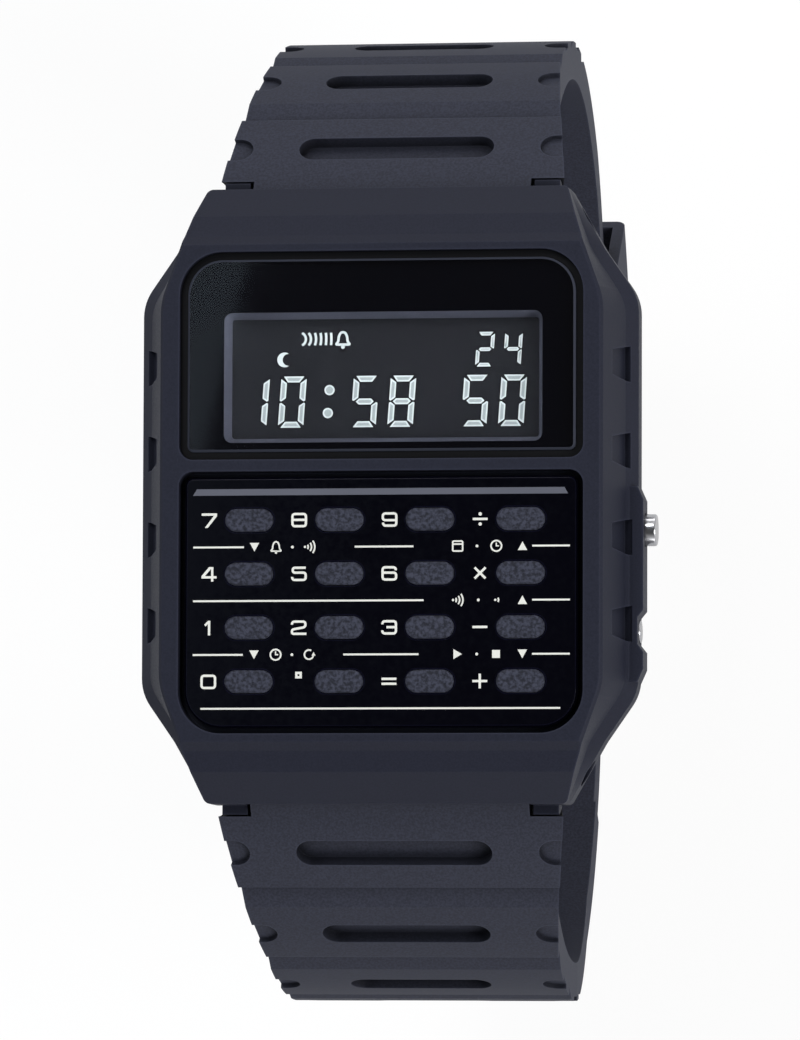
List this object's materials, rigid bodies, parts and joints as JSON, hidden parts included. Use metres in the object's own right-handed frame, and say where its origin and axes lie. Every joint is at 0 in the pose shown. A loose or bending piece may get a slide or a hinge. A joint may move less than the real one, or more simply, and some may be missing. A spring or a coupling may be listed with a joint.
{
  "type": "calculator watch",
  "caption": "Digital calculator watch with a display window, a keypad, side buttons and a curled, unbuckled resin strap with buckle and keeper.",
  "frame": {"origin": "middle of the case back's outer face", "axes": "+Z out of the dial, +Y towards the 12 o'clock strap, +X towards the side buttons"},
  "size_m": [0.0364, 0.0704, 0.0624],
  "materials": {
    "case_resin": "satin moulded resin",
    "strap_resin": "flexible resin with a fine matte grain",
    "crystal": "clear resin glass",
    "mask_print": "black print under the glass",
    "display_surround": "grey moulding",
    "lcd": "dark liquid crystal panel",
    "panel_gloss": "glossy near-black plate",
    "key_plastic": "rough dark grey",
    "black_rubber": "soft rubber",
    "membrane_rubber": "silicone rubber",
    "connector_rubber": "striped silicone strip",
    "board_green": "solder mask over fibreglass",
    "chip_black": "moulded epoxy",
    "module_plastic": "moulded plastic",
    "steel": "brushed stainless steel",
    "bright_steel": "polished steel",
    "spring_steel": "spring wire and strip",
    "clear_sheet": "thin insulating film",
    "brass": "bare brass disc",
    "contact_gold": "gold-plated spring strip",
    "buckle_resin": "hard moulded resin"
  },
  "bodies": {
    "watch_case": {"case": "case_resin", "display_crystal": "crystal", "crystal_gasket": "black_rubber", "window_mask": "mask_print", "display_frame": "display_surround", "lcd_panel": "lcd", "zebra_connectors": "connector_rubber", "keypad_plate": "panel_gloss", "keypad_membrane": "membrane_rubber", "circuit_board": "board_green", "processor_chip": "chip_black", "quartz_crystal": "bright_steel", "module_frame": "module_plastic", "cell_frame": "module_plastic", "coin_cell": "bright_steel", "cell_clip": "spring_steel", "insulator_sheet": "clear_sheet", "buzzer_disc": "brass", "buzzer_spring": "spring_steel", "case_back": "steel", "back_seal": "black_rubber", "case_back_screws": "bright_steel", "mode_button_spring": "spring_steel", "adjust_button_spring": "spring_steel", "button_seals": "black_rubber", "side_contacts": "contact_gold", "spring_bar_upper": "steel", "spring_bar_lower": "steel"},
    "key_7_cap": {"key_7": "key_plastic"},
    "key_8_cap": {"key_8": "key_plastic"},
    "key_9_cap": {"key_9": "key_plastic"},
    "key_divide_cap": {"key_divide": "key_plastic"},
    "key_4_cap": {"key_4": "key_plastic"},
    "key_5_cap": {"key_5": "key_plastic"},
    "key_6_cap": {"key_6": "key_plastic"},
    "key_times_cap": {"key_times": "key_plastic"},
    "key_1_cap": {"key_1": "key_plastic"},
    "key_2_cap": {"key_2": "key_plastic"},
    "key_3_cap": {"key_3": "key_plastic"},
    "key_minus_cap": {"key_minus": "key_plastic"},
    "key_0_cap": {"key_0": "key_plastic"},
    "key_point_cap": {"key_point": "key_plastic"},
    "key_equals_cap": {"key_equals": "key_plastic"},
    "key_plus_cap": {"key_plus": "key_plastic"},
    "mode_button_plunger": {"mode_button": "bright_steel", "mode_button_clip": "spring_steel"},
    "adjust_button_plunger": {"adjust_button": "bright_steel", "adjust_button_clip": "spring_steel"},
    "upper_strap": {"strap_upper": "strap_resin"},
    "lower_strap": {"strap_lower": "strap_resin"},
    "buckle": {"buckle_frame": "buckle_resin", "buckle_pin": "steel"},
    "tongue": {"buckle_tongue": "steel"},
    "keeper_loop": {"keeper": "strap_resin"}
  },
  "joints": [
    {"name": "key_7_press", "type": "slide", "parent": "watch_case", "child": "key_7_cap", "axis": [0, 0, -1], "range_m": [0, 0.00035], "stiffness_N_per_m": 2500, "deforming": ["keypad_membrane"]},
    {"name": "key_8_press", "type": "slide", "parent": "watch_case", "child": "key_8_cap", "axis": [0, 0, -1], "range_m": [0, 0.00035], "stiffness_N_per_m": 2500, "deforming": ["keypad_membrane"]},
    {"name": "key_9_press", "type": "slide", "parent": "watch_case", "child": "key_9_cap", "axis": [0, 0, -1], "range_m": [0, 0.00035], "stiffness_N_per_m": 2500, "deforming": ["keypad_membrane"]},
    {"name": "key_divide_press", "type": "slide", "parent": "watch_case", "child": "key_divide_cap", "axis": [0, 0, -1], "range_m": [0, 0.00035], "stiffness_N_per_m": 2500, "deforming": ["keypad_membrane"]},
    {"name": "key_4_press", "type": "slide", "parent": "watch_case", "child": "key_4_cap", "axis": [0, 0, -1], "range_m": [0, 0.00035], "stiffness_N_per_m": 2500, "deforming": ["keypad_membrane"]},
    {"name": "key_5_press", "type": "slide", "parent": "watch_case", "child": "key_5_cap", "axis": [0, 0, -1], "range_m": [0, 0.00035], "stiffness_N_per_m": 2500, "deforming": ["keypad_membrane"]},
    {"name": "key_6_press", "type": "slide", "parent": "watch_case", "child": "key_6_cap", "axis": [0, 0, -1], "range_m": [0, 0.00035], "stiffness_N_per_m": 2500, "deforming": ["keypad_membrane"]},
    {"name": "key_times_press", "type": "slide", "parent": "watch_case", "child": "key_times_cap", "axis": [0, 0, -1], "range_m": [0, 0.00035], "stiffness_N_per_m": 2500, "deforming": ["keypad_membrane"]},
    {"name": "key_1_press", "type": "slide", "parent": "watch_case", "child": "key_1_cap", "axis": [0, 0, -1], "range_m": [0, 0.00035], "stiffness_N_per_m": 2500, "deforming": ["keypad_membrane"]},
    {"name": "key_2_press", "type": "slide", "parent": "watch_case", "child": "key_2_cap", "axis": [0, 0, -1], "range_m": [0, 0.00035], "stiffness_N_per_m": 2500, "deforming": ["keypad_membrane"]},
    {"name": "key_3_press", "type": "slide", "parent": "watch_case", "child": "key_3_cap", "axis": [0, 0, -1], "range_m": [0, 0.00035], "stiffness_N_per_m": 2500, "deforming": ["keypad_membrane"]},
    {"name": "key_minus_press", "type": "slide", "parent": "watch_case", "child": "key_minus_cap", "axis": [0, 0, -1], "range_m": [0, 0.00035], "stiffness_N_per_m": 2500, "deforming": ["keypad_membrane"]},
    {"name": "key_0_press", "type": "slide", "parent": "watch_case", "child": "key_0_cap", "axis": [0, 0, -1], "range_m": [0, 0.00035], "stiffness_N_per_m": 2500, "deforming": ["keypad_membrane"]},
    {"name": "key_point_press", "type": "slide", "parent": "watch_case", "child": "key_point_cap", "axis": [0, 0, -1], "range_m": [0, 0.00035], "stiffness_N_per_m": 2500, "deforming": ["keypad_membrane"]},
    {"name": "key_equals_press", "type": "slide", "parent": "watch_case", "child": "key_equals_cap", "axis": [0, 0, -1], "range_m": [0, 0.00035], "stiffness_N_per_m": 2500, "deforming": ["keypad_membrane"]},
    {"name": "key_plus_press", "type": "slide", "parent": "watch_case", "child": "key_plus_cap", "axis": [0, 0, -1], "range_m": [0, 0.00035], "stiffness_N_per_m": 2500, "deforming": ["keypad_membrane"]},
    {"name": "mode_button_press", "type": "slide", "parent": "watch_case", "child": "mode_button_plunger", "axis": [-1, 0, 0], "range_m": [0, 0.0006], "stiffness_N_per_m": 3000, "deforming": ["mode_button_spring"]},
    {"name": "adjust_button_press", "type": "slide", "parent": "watch_case", "child": "adjust_button_plunger", "axis": [-1, 0, 0], "range_m": [0, 0.00045], "stiffness_N_per_m": 3000, "deforming": ["adjust_button_spring"]},
    {"name": "upper_strap_swing", "type": "hinge", "parent": "watch_case", "child": "upper_strap", "pos_m": [0, 0.0194, 0.0026], "axis": [1, 0, 0], "range_deg": [0, 35]},
    {"name": "lower_strap_swing", "type": "hinge", "parent": "watch_case", "child": "lower_strap", "pos_m": [0, -0.0194, 0.0026], "axis": [-1, 0, 0], "range_deg": [0, 35]},
    {"name": "buckle_swing", "type": "hinge", "parent": "upper_strap", "child": "buckle", "pos_m": [0, 0.01078, -0.05011], "axis": [1, 0, 0], "range_deg": [-10, 30]},
    {"name": "tongue_swing", "type": "hinge", "parent": "buckle", "child": "tongue", "pos_m": [0, 0.01078, -0.05011], "axis": [1, 0, 0], "range_deg": [0, 75]},
    {"name": "keeper_slide", "type": "hinge", "parent": "upper_strap", "child": "keeper_loop", "pos_m": [0, 0.00519, -0.02206], "axis": [1, 0, 0], "range_deg": [-1.5, 16]}
  ]
}
